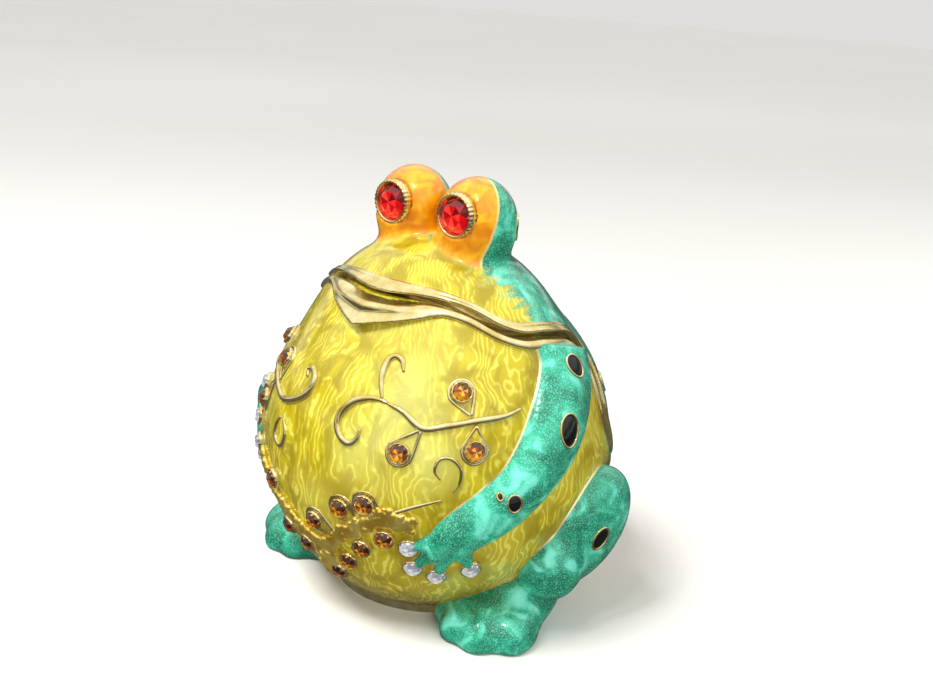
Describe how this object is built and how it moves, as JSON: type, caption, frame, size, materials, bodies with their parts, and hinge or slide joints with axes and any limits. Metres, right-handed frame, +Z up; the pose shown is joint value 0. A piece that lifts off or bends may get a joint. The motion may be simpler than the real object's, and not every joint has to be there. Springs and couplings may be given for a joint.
{
  "type": "hinged trinket box in the form of a sitting frog",
  "caption": "Round sitting frog whose head and back open on a rear hinge: an enamelled metal trinket box with crystal eyes, gold lips, scrollwork and a garland.",
  "frame": {"origin": "centre of the base plate's underside, on the surface the frog sits on", "axes": "+Z up, the frog faces -Y, the frog's left side is +X"},
  "size_m": [0.0486, 0.0449, 0.0508],
  "materials": {
    "amber_crystal": "cut and polished, foil backed",
    "black_enamel": "opaque glossy enamel",
    "clear_crystal": "cut and polished, foil backed",
    "gold_plate": "pale gold plate, polished",
    "green_enamel": "pearlescent translucent enamel over cast metal, glossy",
    "nickel_magnet": "nickel plated",
    "orange_enamel": "pearlescent enamel, glossy",
    "red_crystal": "cut and polished, foil backed",
    "steel_pin": "drawn wire",
    "yellow_enamel": "pearlescent translucent enamel over textured cast metal, glossy"
  },
  "bodies": {
    "base": {"base_magnet": "nickel_magnet", "base_plate": "gold_plate", "belly_crystals_left": "amber_crystal", "belly_crystals_right": "amber_crystal", "belly_scroll_left": "gold_plate", "belly_scroll_right": "gold_plate", "body_shell": "yellow_enamel", "garland": "gold_plate", "garland_crystals": "amber_crystal", "hinge_base_knuckles": "gold_plate", "hinge_pin": "steel_pin", "inner_flange": "gold_plate", "left_arm": "green_enamel", "left_arm_spot_rims": "gold_plate", "left_arm_spots": "black_enamel", "left_foot": "green_enamel", "left_hand_crystals": "clear_crystal", "left_hand_settings": "gold_plate", "left_haunch": "green_enamel", "left_haunch_spot_rims": "gold_plate", "left_haunch_spots": "black_enamel", "lower_lip_rim": "gold_plate", "right_arm": "green_enamel", "right_arm_spot_rims": "gold_plate", "right_arm_spots": "black_enamel", "right_foot": "green_enamel", "right_hand_crystals": "clear_crystal", "right_hand_settings": "gold_plate", "right_haunch": "green_enamel", "right_haunch_spot_rims": "gold_plate", "right_haunch_spots": "black_enamel"},
    "lid": {"back_spot_rims": "gold_plate", "back_spots": "black_enamel", "hinge_lid_knuckle": "gold_plate", "left_eye_bezel": "gold_plate", "left_eye_crystal": "red_crystal", "left_eye_dome": "orange_enamel", "left_eye_spot": "black_enamel", "left_eye_spot_rim": "gold_plate", "lid_magnet": "nickel_magnet", "lid_shell": "green_enamel", "right_eye_bezel": "gold_plate", "right_eye_crystal": "red_crystal", "right_eye_dome": "orange_enamel", "right_eye_spot": "black_enamel", "right_eye_spot_rim": "gold_plate", "upper_lip_rim": "gold_plate"}
  },
  "joints": [
    {"name": "lid_hinge", "type": "hinge", "parent": "base", "child": "lid", "pos_m": [0, 0.02195, 0.015], "axis": [-1, 0, 0], "range_deg": [0, 80]}
  ]
}
